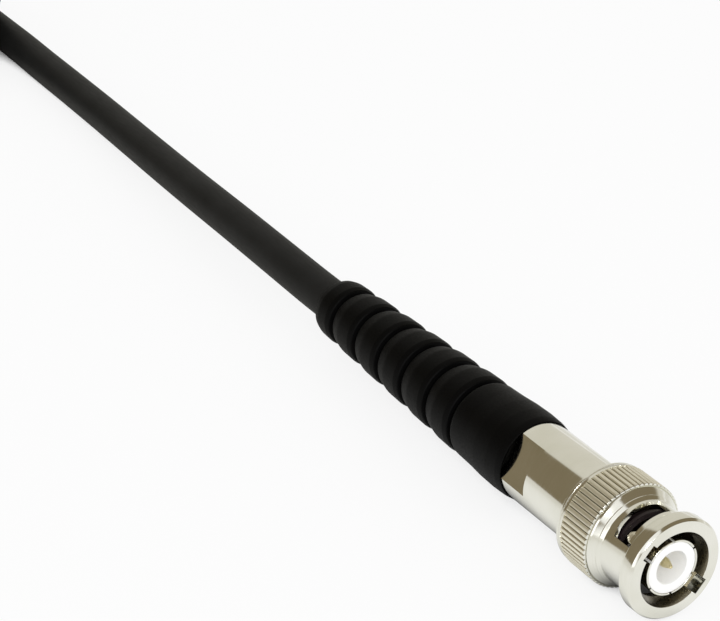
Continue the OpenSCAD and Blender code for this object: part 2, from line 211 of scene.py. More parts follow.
def joined(parts: Iterable[BMesh]) -> BMesh:
    """Puts several meshes into one.

    Args:
        parts: the meshes, which are freed.

    Returns:
        The mesh that holds them all.
    """
    whole = bmesh.new()
    for part in parts:
        spare = as_mesh(part)
        whole.from_mesh(spare)
        bpy.data.meshes.remove(spare)
    return whole


class Join(Enum):
    """What a boolean step keeps of two closed meshes."""

    LESS = "DIFFERENCE"
    PLUS = "UNION"


def combine(body: BMesh, tool: BMesh, join: Join = Join.LESS) -> BMesh:
    """Combines two closed meshes.

    Args:
        body: the first mesh, which is freed.
        tool: the second mesh, which is freed.
        join: what is kept.

    Returns:
        The mesh that is kept.
    """
    holders = [placed("spare", as_mesh(bm)) for bm in (body, tool)]
    step = holders[0].modifiers.new("combine", "BOOLEAN")
    step.operation = join.value
    step.solver = "EXACT"
    step.object = holders[1]
    held = holders[0].evaluated_get(bpy.context.evaluated_depsgraph_get())
    left = bmesh.new()
    left.from_mesh(held.to_mesh())
    held.to_mesh_clear()
    for holder in holders:
        mesh = holder.data
        bpy.data.objects.remove(holder)
        bpy.data.meshes.remove(mesh)
    return left


def paint(made: Object, finish: Material, chosen: Callable[[Vector], bool]) -> None:
    """Gives some faces of a piece a second finish.

    Args:
        made: the piece.
        finish: the second finish.
        chosen: tells from a face's centre, in millimetres, whether it takes the finish.
    """
    made.data.materials.append(finish)
    last = len(made.data.materials) - 1
    for face in made.data.polygons:
        if chosen(face.center / MM):
            face.material_index = last


def piece(name: str, bm: BMesh, finish: Material, body: str, nodes: Iterable[str]) -> Object:
    """Turns a mesh in millimetres into a finished piece of the object.

    Args:
        name: the piece's name.
        bm: its mesh, which is freed.
        finish: its material.
        body: the moving body that it rides on.
        nodes: the solids that it stands for.

    Returns:
        The piece, linked to the scene.
    """
    bmesh.ops.scale(bm, vec=(MM, MM, MM), verts=bm.verts)
    mesh = as_mesh(bm, name)
    mesh.shade_smooth()
    mesh.set_sharp_from_angle(angle=SHARP)
    mesh.materials.append(finish)
    made = placed(name, mesh)
    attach(made, body)
    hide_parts(*nodes)
    LOG.info("%s: %d faces, rides on %s", name, len(mesh.polygons), body)
    return made


def soften(made: Object, width: float) -> None:
    """Rounds the sharp edges of a piece.

    Args:
        made: the piece.
        width: how far the rounding reaches from the edge, in millimetres.
    """
    edge = made.modifiers.new("edge", "BEVEL")
    edge.width = width * MM
    edge.segments = 2
    edge.limit_method = "ANGLE"
    edge.angle_limit = SHARP
    edge.use_clamp_overlap = True
    edge.harden_normals = True


@dataclass
class Assembly:
    """A sub-assembly of the probe, with the finishes that its pieces take."""

    finishes: dict[str, Material]


# ---- finishes


def shade(hex_code: str) -> Colour:
    """Turns an sRGB hex value into a linear colour.

    Args:
        hex_code: the colour, as #RRGGBB.

    Returns:
        The linear colour with alpha 1.
    """
    parts = [int(hex_code[i:i + 2], 16) / 255.0 for i in (1, 3, 5)]
    linear = [p / 12.92 if p <= 0.04045 else ((p + 0.055) / 1.055) ** 2.4 for p in parts]
    return (linear[0], linear[1], linear[2], 1.0)


def grey(level: float) -> Colour:
    """A neutral linear colour with alpha 1."""
    return (level, level, level, 1.0)


def node(tree: NodeTree, kind: str, inputs: dict | None = None,
         **settings: object) -> bpy.types.bpy_prop_collection:
    """Adds a node to a tree.

    Args:
        tree: the node tree.
        kind: the node's type, without the ShaderNode that it starts with.
        inputs: what its sockets get, by name or number: a value, or another node's output socket.
        **settings: properties of the node.

    Returns:
        The node's output sockets.
    """
    made = tree.nodes.new("ShaderNode" + kind)
    for key, value in settings.items():
        setattr(made, key, value)
    for key, value in (inputs or {}).items():
        if isinstance(value, NodeSocket):
            tree.links.new(value, made.inputs[key])
        else:
            made.inputs[key].default_value = value
    return made.outputs


def adder(owner: Material | World) -> Callable:
    """Empties the node tree of a material or a world.

    Args:
        owner: the material or world.

    Returns:
        The function node, set to add to this tree.
    """
    owner.use_nodes = True
    owner.node_tree.nodes.clear()
    return partial(node, owner.node_tree)


def window(add: Callable, *edges: tuple[NodeSocket, float, float]) -> NodeSocket:
    """Multiplies smooth steps with each other.

    Args:
        add: adds a node to the tree.
        *edges: for each step, the value that it reads, where it is 0 and where it is 1.

    Returns:
        The product's socket.
    """
    whole: NodeSocket | float = 1.0
    for value, none, full in edges:
        step = add("MapRange", {"Value": value, "From Min": none, "From Max": full},
                   interpolation_type="SMOOTHSTEP")[0]
        whole = add("Math", {0: whole, 1: step}, operation="MULTIPLY")[0]
    return whole


@dataclass(frozen=True)
class Grain:
    """The fine relief of a surface: its size along each axis and depth in mm, and how roughness varies."""

    size: Triple = (0.5, 0.5, 0.5)
    depth: float = 0.004
    spread: float = 0.05
    detail: float = 3.0


@dataclass(frozen=True)
class Finish:
    """A finish: a real material, its colours and the numbers of its shader."""

    name: str
    light: str
    dark: str
    roughness: float
    metallic: float = 0.0
    ior: float = 1.5
    specular: float = 0.5
    grain: Grain = field(default_factory=Grain)
    patch_mm: float = 6.0
    subsurface: float = 0.0
    bleed_mm: float = 1.0
    fine_share: float = 0.35

    def material(self) -> Material:
        """Builds the finish as a node material on object coordinates.

        Returns:
            The material: a patchy colour between dark and light, and a relief that also moves the roughness.
        """
        made = bpy.data.materials.new(self.name)
        add = adder(made)
        place = add("TexCoord")["Object"]
        scale = tuple(1.0 / (s * MM) for s in self.grain.size)
        fine_place = add("Mapping", {"Vector": place, "Scale": scale})[0]
        fine = add("TexNoise", {
            "Vector": fine_place, "Scale": 1.0, "Detail": self.grain.detail, "Roughness": 0.55})[0]
        patches = add("TexNoise", {"Vector": place, "Scale": 1.0 / (self.patch_mm * MM), "Detail": 2.0})[0]
        coarse = add("Math", {0: patches, 1: 1.0 - self.fine_share}, operation="MULTIPLY")[0]
        both = add("Math", {0: fine, 1: self.fine_share, 2: coarse}, operation="MULTIPLY_ADD")[0]
        colour = add("ValToRGB", {"Fac": both})[0]
        stops = ((0.35, self.dark), (0.65, self.light))
        for stop, (level, hex_code) in zip(colour.node.color_ramp.elements, stops):
            stop.position = level
            stop.color = shade(hex_code)
        rough = add("MapRange", {
            "Value": fine, "From Min": 0.3, "From Max": 0.7,
            "To Min": self.roughness - self.grain.spread,
            "To Max": self.roughness + self.grain.spread})[0]
        bump = add("Bump", {"Height": fine, "Distance": self.grain.depth * MM})[0]
        shader = add("BsdfPrincipled", {
            "Base Color": colour, "Roughness": rough, "Metallic": self.metallic,
            "IOR": self.ior, "Specular IOR Level": self.specular, "Subsurface Weight": self.subsurface,
            "Subsurface Radius": (1.0, 1.0, 1.0), "Subsurface Scale": self.bleed_mm * MM,
            "Normal": bump})[0]
        add("OutputMaterial", {"Surface": shader})
        return made


# Turning leaves fine rings along X, a polished mould almost nothing, and a plain one a fine grain.
TURNED_RINGS = Grain((0.16, 6.0, 6.0), 0.0006, 0.03, 2.0)
SMOOTH_GRAIN = Grain((0.6,) * 3, 0.003, 0.04)
PLAIN_GRAIN = Grain((0.3,) * 3, 0.004, 0.05)

FINISHES = {
    # Nickel plate, bright over turned brass: turning leaves fine rings, and the plate is a warm grey mirror.
    "nickel": Finish("bright_nickel_plate", "#EEEDE5", "#E5E4D9", 0.12, 1.0, grain=TURNED_RINGS),
    # Nickel plate on the ribs of the knurl, where the rolling tool leaves it duller. On the detents its
    # lighter colour is a painted highlight.
    "nickel_cut": Finish("rolled_nickel_plate_and_painted_highlight", "#F1EDDD", "#E6E1CE", 0.45, 1.0,
                         grain=Grain((0.2,) * 3, 0.004, 0.06)),
    # Nickel plate on the floors of the knurl, darker there as painted shade.
    "nickel_groove": Finish("nickel_plate_painted_groove_shade", "#B7B098", "#A59E86", 0.45, 1.0,
                            grain=Grain((0.2,) * 3, 0.002, 0.05)),
    # Inside the bore the plate is rougher, and its darker colour is painted shade.
    "nickel_bore": Finish("nickel_plate_painted_bore_shade", "#8C8573", "#746D5B", 0.3, 1.0,
                          grain=Grain((0.3,) * 3, 0.001, 0.05)),
    # Gold plate on the turned contacts, pale and smooth.
    "gold": Finish("gold_plate", "#E0D6B2", "#D3C694", 0.18, 1.0, grain=TURNED_RINGS),
    # Turned PTFE: bright white, waxy, lit through a little.
    "ptfe": Finish("turned_ptfe", "#FDFDFC", "#FBFBFA", 0.45,
                   grain=Grain((0.2, 2.0, 2.0), 0.001, 0.05), ior=1.35, subsurface=0.15),
    # Moulded rubber of the boots: near black, with a low soft sheen.
    "boot": Finish("moulded_black_rubber", "#040404", "#030303", 0.5,
                   grain=Grain((0.35,) * 3, 0.006, 0.06), specular=0.07),
    # Extruded PVC jacket of the cable: charcoal, matt, with a faint lengthwise drag.
    "jacket": Finish("extruded_grey_pvc", "#1F1F1E", "#191918", 0.55,
                     grain=Grain((3.0, 0.4, 0.4), 0.004, 0.05), specular=0.12),
    # Woven nylon strap of the tie.
    "strap": Finish("woven_black_nylon", "#1A1A1B", "#0C0C0D", 0.75, grain=Grain((0.5,) * 3, 0.05, 0.08)),
    # Injection-moulded ABS of the handle: dark grey with a spark-eroded texture.
    "handle": Finish("moulded_dark_abs", "#2C2D2F", "#222325", 0.42, grain=Grain((0.25,) * 3, 0.012, 0.07)),
    # The nose is the same plastic moulded smooth, a shade lighter.
    "nose": Finish("smooth_grey_abs", "#3A3B3E", "#313235", 0.33, grain=SMOOTH_GRAIN),
    # The knob is white acetal, smooth from the mould.
    "knob": Finish("moulded_white_acetal", "#D9D9D5", "#CFCFCA", 0.35, grain=SMOOTH_GRAIN),
    # Inner metal: spring steel, bare and dull.
    "steel": Finish("spring_steel", "#8C8C8E", "#77777A", 0.32, 1.0,
                    grain=Grain((0.2, 1.5, 1.5), 0.002, 0.06)),
    # Tinned copper braid: a dull silver with its strands as a fine grain.
    "braid": Finish("tinned_copper_braid", "#B4B1A9", "#8F8C84", 0.4, 1.0,
                    grain=Grain((0.3, 0.15, 0.15), 0.03, 0.08)),
    # Bare copper of the inner conductor.
    "copper": Finish("drawn_copper", "#C9805A", "#B16C48", 0.25, 1.0,
                     grain=Grain((2.0, 0.1, 0.1), 0.001, 0.05)),
    # Foamed polyethylene round the conductor: milky and soft.
    "polyethylene": Finish("foamed_polyethylene", "#E9E7DE", "#DEDBCF", 0.45, grain=PLAIN_GRAIN,
                           subsurface=0.1),
    # Silicone gasket: near black with a maroon cast, matt.
    "silicone": Finish("dark_silicone", "#1C0A10", "#12060A", 0.55, grain=PLAIN_GRAIN),
    # Glass-epoxy board under green solder mask.
    "board": Finish("green_solder_mask", "#1E5A35", "#174A2B", 0.3, grain=Grain((0.8,) * 3, 0.004, 0.05)),
    # Lacquered ceramic of the resistor.
    "resistor": Finish("lacquered_ceramic", "#C9AC7C", "#B99A69", 0.28, grain=Grain((0.6,) * 3, 0.004, 0.04)),
    # Fired ceramic of the trimmer.
    "ceramic": Finish("fired_ceramic", "#DAD0B6", "#CCC1A5", 0.4, grain=PLAIN_GRAIN),
    # Black glass-filled nylon of the switch's base.
    "nylon": Finish("black_filled_nylon", "#1B1B1C", "#121213", 0.5, grain=Grain((0.3,) * 3, 0.005, 0.05)),
}


# ---- the stage


@dataclass(frozen=True)
class Panel:
    """A part of the room that only reflections show: its colour, and the edges where it fades in.

    An edge is the name of a measure of the direction, its value where nothing shows, and where all shows. The
    measures are height, across, which grows to the right of the first view, and away, which grows into it.
    """

    colour: Colour
    edges: tuple[tuple[str, float, float], ...]


DIM_WALL = shade("#81765F")


@dataclass
class Stage:
    """The camera, the pale floor and the plain studio light."""

    eye: Triple = (188.5, -159.4, 165.7)
    right: Triple = (0.51429, 0.85762, 0.0)
    up: Triple = (-0.40037, 0.24009, 0.88434)
    pixels_wide: float = 720.0
    focal_pixels: float = 2300.0
    sensor_mm: float = 36.0
    floor_m: float = 60.0
    paper_level: float = 0.88
    glow_share: float = 0.85
    open_within: float = 25.0
    mirrored_floor: str = "#FAFAF8"
    mirrored_edge: str = "#E0DED6"
    lamp_way: Triple = (0.77, -0.37, 0.52)
    lamp_far: float = 1.3
    lamp_size: Pair = (0.34, 0.34)
    lamp_watts: float = 5.5
    soft_light: float = 0.82
    # The painted shadow under the plug: its middle along X and Y, and its half widths.
    painted_shadow_patch: tuple[float, float, float, float] = (-8.0, 4.0, 6.0, 4.5)
    panels: tuple[Panel, ...] = (
        # The pale far wall, and the dim warm sides.
        Panel(shade("#DBD8CE"), (("away", 0.0, 0.4), ("height", 0.0, 0.1))),
        Panel(DIM_WALL, (("across", -0.58, -0.69), ("height", -0.02, 0.02))),
        Panel(DIM_WALL, (("across", 0.44, 0.56), ("height", 0.2, 0.34))),
        # A dim gap on the near side, between the lamp and a tall white screen on its left.
        Panel(DIM_WALL, (("across", -0.36, -0.28), ("across", 0.06, 0.0), ("away", 0.0, -0.3),
                         ("height", 0.0, 0.05), ("height", 0.42, 0.36))),
        Panel(grey(1.5), (("across", -0.93, -0.86), ("across", -0.36, -0.46), ("away", 0.0, -0.3),
                          ("height", 0.6, 0.5))),
    )

    def camera(self) -> None:
        """Places the camera at the viewing angle, without shift or roll."""
        data = bpy.data.cameras.new("camera")
        data.sensor_fit = "HORIZONTAL"
        data.sensor_width = self.sensor_mm
        data.lens = self.sensor_mm * self.focal_pixels / self.pixels_wide
        data.clip_start = 0.01
        data.clip_end = 200.0
        held = placed("camera", data)
        right, up = Vector(self.right).normalized(), Vector(self.up).normalized()
        back = right.cross(up)
        turn = Matrix((right, up, back)).transposed().to_4x4()
        held.matrix_world = Matrix.Translation(Vector(self.eye) * MM) @ turn
        bpy.context.scene.camera = held

    def floor(self) -> None:
        """Lays the pale floor."""
        bm = bmesh.new()
        # Set off to one side, so that the inner edge of its two triangles stays clear of the part.
        bmesh.ops.create_grid(bm, x_segments=1, y_segments=1, size=self.floor_m / 2.0,
                              matrix=Matrix.Translation((self.floor_m / 8.0, 0.0, (FLOOR_Z - 0.02) * MM)))
        mesh = as_mesh(bm, "floor")
        mesh.materials.append(self.paper())
        floor = placed("floor", mesh)

    def paper(self) -> Material:
        """Makes the floor's paper: white to the eye and in reflections, and matt to all other light.

        Returns:
            The material. Its glow is held back as a painted shadow where ambient occlusion finds the ground
            shut in, in reflections too, and for the eye also right under the plug, which no light reaches.
        """
        made = bpy.data.materials.new("white_paper")
        add = adder(made)
        ray = add("LightPath")
        glossy = ray["Is Glossy Ray"]
        seen = add("Math", {0: ray["Is Camera Ray"], 1: glossy}, operation="MAXIMUM")[0]
        share = add("Math", {0: seen, 1: self.glow_share}, operation="MULTIPLY")[0]
        matt = add("BsdfDiffuse", {"Color": grey(self.paper_level)})[0]
        opened = add("AmbientOcclusion", {"Distance": self.open_within * MM}, samples=12)["AO"]
        spot = add("TexCoord")["Object"]
        # The painted shadow's ellipse under the plug, which this turns into a circle of radius 1 round the
        # origin.
        middle_x, middle_y, half_x, half_y = (value * MM for value in self.painted_shadow_patch)
        scaled = add("Mapping", {
            "Vector": spot, "Location": (-middle_x / half_x, -middle_y / half_y, 0.0),
            "Scale": (1.0 / half_x, 1.0 / half_y, 0.0)})[0]
        off_patch = add("VectorMath", {0: scaled}, operation="LENGTH")["Value"]
        # Painted shadow: the glow fades where the ground is shut in and inside the ellipse, and in
        # reflections where it is shut in.
        near = window(add, (opened, 0.02, 0.14), (off_patch, 0.8, 1.1))
        mirrored_near = window(add, (opened, 0.1, 0.75))
        lit = add("Mix", {0: glossy, 2: near, 3: mirrored_near}, data_type="FLOAT")[0]
        # In reflections the floor's glow is painted dimmer away from the part, as painted shade.
        way_off = add("VectorMath", {0: spot}, operation="LENGTH")["Value"]
        edge = add("Mix", {0: window(add, (way_off, 0.02, 0.12)), 6: shade(self.mirrored_floor),
                           7: shade(self.mirrored_edge)}, data_type="RGBA")[2]
        colour = add("Mix", {0: glossy, 6: grey(1.0), 7: edge}, data_type="RGBA")[2]
        glow = add("Emission", {"Color": colour, "Strength": lit})[0]
        mixed = add("MixShader", {0: share, 1: matt, 2: glow})[0]
        add("OutputMaterial", {"Surface": mixed})
        return made

    def world(self) -> None:
        """Lights the scene evenly, and lets reflections show the panels of the room."""
        world = bpy.data.worlds.new("studio")
        bpy.context.scene.world = world
        add = adder(world)
        way = add("TexCoord")["Generated"]
        level = add("VectorMath", {0: way, 1: (1.0, 1.0, 0.0)}, operation="MULTIPLY")[0]
        flat_way = add("VectorMath", {0: level}, operation="NORMALIZE")[0]
        right = Vector(self.right).normalized()
        measures = {"height": add("SeparateXYZ", {0: way})["Z"]}
        for name, axis in (("across", tuple(right)), ("away", (-right.y, right.x, 0.0))):
            measures[name] = add("VectorMath", {0: flat_way, 1: axis}, operation="DOT_PRODUCT")["Value"]
        room: NodeSocket | tuple = grey(1.0)
        for panel in self.panels:
            share = window(add, *((measures[name], none, full) for name, none, full in panel.edges))
            room = add("Mix", {0: share, 6: room, 7: panel.colour}, data_type="RGBA")[2]
        ray = add("LightPath")
        soft = add("Mix", {0: ray["Is Camera Ray"], 6: grey(self.soft_light), 7: grey(1.0)},
                   data_type="RGBA")[2]
        colour = add("Mix", {0: ray["Is Glossy Ray"], 6: soft, 7: room}, data_type="RGBA")[2]
        glow = add("Background", {"Color": colour, "Strength": 1.0})[0]
        add("OutputWorld", {"Surface": glow})

    def lamp(self) -> None:
        """Hangs one soft lamp on the camera's side."""
        data = bpy.data.lights.new("softbox", "AREA")
        data.shape = "RECTANGLE"
        data.size, data.size_y = self.lamp_size
        data.energy = self.lamp_watts
        held = placed("softbox", data)
        spot = Vector(self.lamp_way).normalized() * self.lamp_far
        held.location = spot
        held.rotation_euler = (-spot).to_track_quat("-Z", "Y").to_euler()

    def build(self) -> None:
        """Sets the stage."""
        bpy.context.scene.view_settings.view_transform = "Standard"
        self.camera()
        self.floor()
        self.world()
        self.lamp()


# ---- the lead


@dataclass
class Lead(Assembly):
    """The cable's free length: a run from the plug's boot, a folded hank and a short lead into the head."""

    radius: float = 3.25
    boot_end: float = -83.6
    hank_entry: float = -232.0
    hank_exit: float = -354.0
    head_x: float = -388.0
    head_y: float = 1.8
    lane_y: float = 6.3
    run_len: float = 98.0
    loop_step: float = 7.4
    waist_in: float = 12.0
    fold_right: float = -244.0
    fold_r: float = 19.5
    half_turns: int = 7
    layer_gap: float = 0.6
    tie_thick: float = 1.0
    tie_gap: float = 0.3
    tie_len: float = 11.0
    tie_round: float = 3.1
    length_m: float = 1.35

    def __post_init__(self) -> None:
        """Works out the places that follow from the sizes."""
        self.low_z = FLOOR_Z + self.radius
        self.layer_step = 2.0 * self.radius + self.layer_gap
        self.tie_lift = self.tie_thick + self.tie_gap
        self.outer_lane = self.fold_r + 1.25 * self.loop_step
        self.hank_y = self.lane_y - self.outer_lane
        self.fold_left = self.fold_right - self.run_len
        self.waist_x = (self.fold_left + self.fold_right) / 2.0
        self.top_z = self.low_z + self.layer_step

    def run_route(self) -> list[Vector]:
        """The listed route from the boot to the hank, in millimetres."""
        return [Vector(p) for p in (
            (self.boot_end, 0, 0), (-92, 0, 0), (-105, 0.4, -0.2), (-120, 1, -0.6), (-135, 1.8, -1.3),
            (-150, 2.9, -2.2), (-165, 4, -3), (-180, 5, -3.7), (-195, 5.7, -4.2), (-210, 6.1, self.low_z),
            (-220, self.lane_y, self.low_z), (self.hank_entry, self.lane_y, self.low_z))]

    def lead_route(self) -> list[Vector]:
        """The listed route from the hank to the probe head, in millimetres."""
        return [Vector(p) for p in (
            (self.hank_exit, self.lane_y, self.top_z), (-359, 5.97, 2.45), (-364, 5.13, 1.96),
            (-369, 4.05, 1.33), (-374, 2.97, 0.69), (-379, 2.13, 0.2), (-384, self.head_y, 0),
            (self.head_x, self.head_y, 0))]

    def lane(self, k: int) -> float:
        """How far half turn k lies from the hank's middle line."""
        return self.outer_lane - self.loop_step * (k / 2.0 if k <= 3 else 3.0 - k / 2.0)

    def waist(self, x: float) -> float:
        """The share of the waist's draw at a place along the hank, from 0 to 1."""
        inside = self.fold_left <= x <= self.fold_right
        return (1.0 + math.cos(2.0 * math.pi * (x - self.waist_x) / self.run_len)) / 2.0 if inside else 0.0

    def hank_route(self, run_steps: int = 14, fold_steps: int = 16) -> list[Vector]:
        """Winds the hank: each half turn runs along one side and then folds round to the next.

        Args:
            run_steps: the points along a run.
            fold_steps: the points round a fold.

        Returns:
            The route between the hank's two straight ends.
        """
        route: list[Vector] = []
        last = self.half_turns - 1
        for k in range(self.half_turns):
            side = 1.0 if k % 2 == 0 else -1.0
            for i in range(run_steps + (1 if k == last else 0)):
                t = i / run_steps
                climbed = 0.0 if k < 3 else 1.0 if k > 3 else t * t * (3.0 - 2.0 * t)
                x = self.fold_right - t * self.run_len if side > 0 else self.fold_left + t * self.run_len
                pull = self.waist(x)
                route.append(Vector((x, self.hank_y + side * (self.lane(k) - self.waist_in * pull),
                                     self.low_z + self.layer_step * climbed + self.tie_lift * pull)))
            if k == last:
                break
            level = self.low_z + (self.layer_step if k >= 3 else 0.0)
            bend = (self.lane(k) + self.lane(k + 1)) / 2.0
            middle = self.hank_y + side * (self.lane(k) - bend)
            for i in range(fold_steps):
                t = i / fold_steps
                reach = bend * math.sin(math.pi * t)
                end = self.fold_left - reach if side > 0 else self.fold_right + reach
                route.append(Vector((end, middle + side * bend * math.cos(math.pi * t), level)))
        return route

    def build(self) -> None:
        """Makes the cable as one curve and the tie round its waist."""
        points = smooth_path(self.run_route()) + self.hank_route() + smooth_path(self.lead_route())
        curve = bpy.data.curves.new("cable", "CURVE")
        curve.dimensions = "3D"
        curve.twist_mode = "Z_UP"
        curve.bevel_depth = self.radius * MM
        curve.bevel_resolution = 10
        curve.use_fill_caps = True
        spline = curve.splines.new("POLY")
        spline.points.add(len(points) - 1)
        for spot, point in zip(spline.points, points):
            spot.co = (*(point * MM), 1.0)
        spline.use_smooth = True
        curve.materials.append(self.finishes["jacket"])
        cable = placed("cable", curve)
        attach(cable, "root")
        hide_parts("cable_run", "cable_hank", "cable_lead")
        tie = self.tie()
        whole = sum((after - before).length for before, after in zip(points, points[1:]))
        LOG.info("cable: %d points, %.0f mm", len(points), whole)

    def tie(self) -> Object:
        """Wraps a strap round the waist of the hank.

        Returns:
            The strap.
        """
        reach = self.radius + 0.1 - self.waist_in
        low_y, high_y = self.hank_y - self.lane(1) - reach, self.hank_y + self.lane(0) + reach
        low_z, high_z = FLOOR_Z + self.tie_thick, self.top_z + self.tie_lift + self.radius + 0.1
        bm = bmesh.new()
        x0 = self.waist_x - self.tie_len / 2.0
        rings = []
        for out in (0.0, self.tie_thick):
            sides_y, sides_z = (low_y - out, high_y + out), (low_z - out, high_z + out)
            corners = [(sides_y[i], sides_z[k], self.tie_round + out)
                       for i, k in ((0, 0), (1, 0), (1, 1), (0, 1))]
            verts = [bm.verts.new((x0, p.x, p.y)) for p in rounded(corners, Shape.RING, 8)]
            rings.append([bm.edges.new((a, b)) for a, b in zip(verts, verts[1:] + verts[:1])])
        faces = bmesh.ops.bridge_loops(bm, edges=rings[0] + rings[1])["faces"]
        grown = bmesh.ops.extrude_face_region(bm, geom=faces)["geom"]
        moved = [part for part in grown if isinstance(part, BMVert)]
        bmesh.ops.translate(bm, vec=(self.tie_len, 0, 0), verts=moved)
        tidy(bm)
        made = piece("tie", bm, self.finishes["strap"], "root", ["hank_tie"])
        soften(made, 0.2)
        return made


def smooth_path(points: list[Vector], steps: int = 6) -> list[Vector]:
    """Runs a smooth line through points, straight at both ends.

    Args:
        points: the points that it passes.
        steps: how many pieces each stretch has.

    Returns:
        The points of the line, the given ones among them.
    """
    line: list[Vector] = []
    padded = [2 * points[0] - points[1]] + points + [2 * points[-1] - points[-2]]
    for a, b, c, d in zip(padded, padded[1:], padded[2:], padded[3:]):
        start, finish = (c - a) / 2.0, (d - b) / 2.0
        for i in range(steps):
            t = i / steps
            line.append(b * (2 * t ** 3 - 3 * t ** 2 + 1) + start * (t ** 3 - 2 * t ** 2 + t)
                        + c * (3 * t ** 2 - 2 * t ** 3) + finish * (t ** 3 - t ** 2))
    line.append(points[-1])
    return line


# ---- the plug


def along(edge: Iterable[Pair], angle: float) -> float:
    """Reads a broken line at an angle.

    Args:
        edge: the line's corners as (angle, station), by rising angle.
        angle: the angle about X in degrees.

    Returns:
        The station in millimetres, held at the ends.
    """
    corners = list(edge)
    for (a0, x0), (a1, x1) in zip(corners, corners[1:]):
        if angle <= a1:
            return x0 + (x1 - x0) * max(0.0, angle - a0) / (a1 - a0)
    return corners[-1][1]


@dataclass
class CamSlot:
    """The slot that leads a jack's lug back and into its lock, with a round detent before the lock."""

    first: float = 66.0
    last: float = 146.5
    lock_from: float = 141.0
    lock_front: float = -2.4
    front: tuple[Pair, ...] = ((66.0, -3.75), (94.0, -3.4), (127.0, -3.15), (141.0, -3.1))
    rear: tuple[Pair, ...] = ((66.0, -6.6), (86.0, -6.5), (100.0, -6.33), (117.0, -6.06), (133.0, -5.9),
                              (146.5, -5.55))
    flare: float = 0.3
    detent: Pair = (-3.05, 134.0)
    detent_size: Triple = (1.12, 0.6, 0.9)
    steps: int = 96

    def tool(self, half: float, inner: float, outer: float, wall_r: float) -> BMesh:
        """Makes the space that one slot takes out of the neck's wall.

        Args:
            half: how far this slot is turned on from the first, in degrees.
            inner: the tool's inner radius.
            outer: the tool's outer radius.
            wall_r: the radius from which the rear edge flares.

        Returns:
            A closed mesh in millimetres.
        """
        bm = bmesh.new()
        angles = [self.first + (self.last - self.first) * i / self.steps for i in range(self.steps + 1)]
        rings = []
        for angle in angles:
            front = self.lock_front if angle >= self.lock_from else along(self.front, angle)
            back = along(self.rear, angle)
            section = [(front, inner), (front, outer), (back - self.flare * (outer - wall_r), outer),
                       (back, wall_r), (back, inner)]
            turn = math.radians(angle + half)
            rings.append([bm.verts.new((x, r * math.cos(turn), r * math.sin(turn))) for x, r in section])
        for one, other in zip(rings, rings[1:]):
            count = len(one)
            for k in range(count):
                bm.faces.new((one[k], one[(k + 1) % count], other[(k + 1) % count], other[k]))
        bm.faces.new(rings[0])
        bm.faces.new(rings[-1])
        bmesh.ops.recalc_face_normals(bm, faces=bm.faces)
        return bm

    def bump(self, half: float, middle_r: float) -> BMesh:
        """Makes the round detent that the lug passes before its lock.

        Args:
            half: how far this slot is turned on from the first, in degrees.
            middle_r: the radius of the detent's middle.

        Returns:
            A closed mesh in millimetres.
        """
        bm = bmesh.new()
        place = self.detent_place(half, middle_r) @ Matrix.Diagonal((*self.detent_size, 1.0))
        bmesh.ops.create_uvsphere(bm, u_segments=40, v_segments=24, radius=1.0, matrix=place)
        return bm

    def detent_place(self, half: float, middle_r: float) -> Matrix:
        """The detent's place for one slot, in millimetres."""
        x, angle = self.detent
        return Matrix.Rotation(math.radians(angle + half), 4, "X") @ Matrix.Translation((x, middle_r, 0.0))


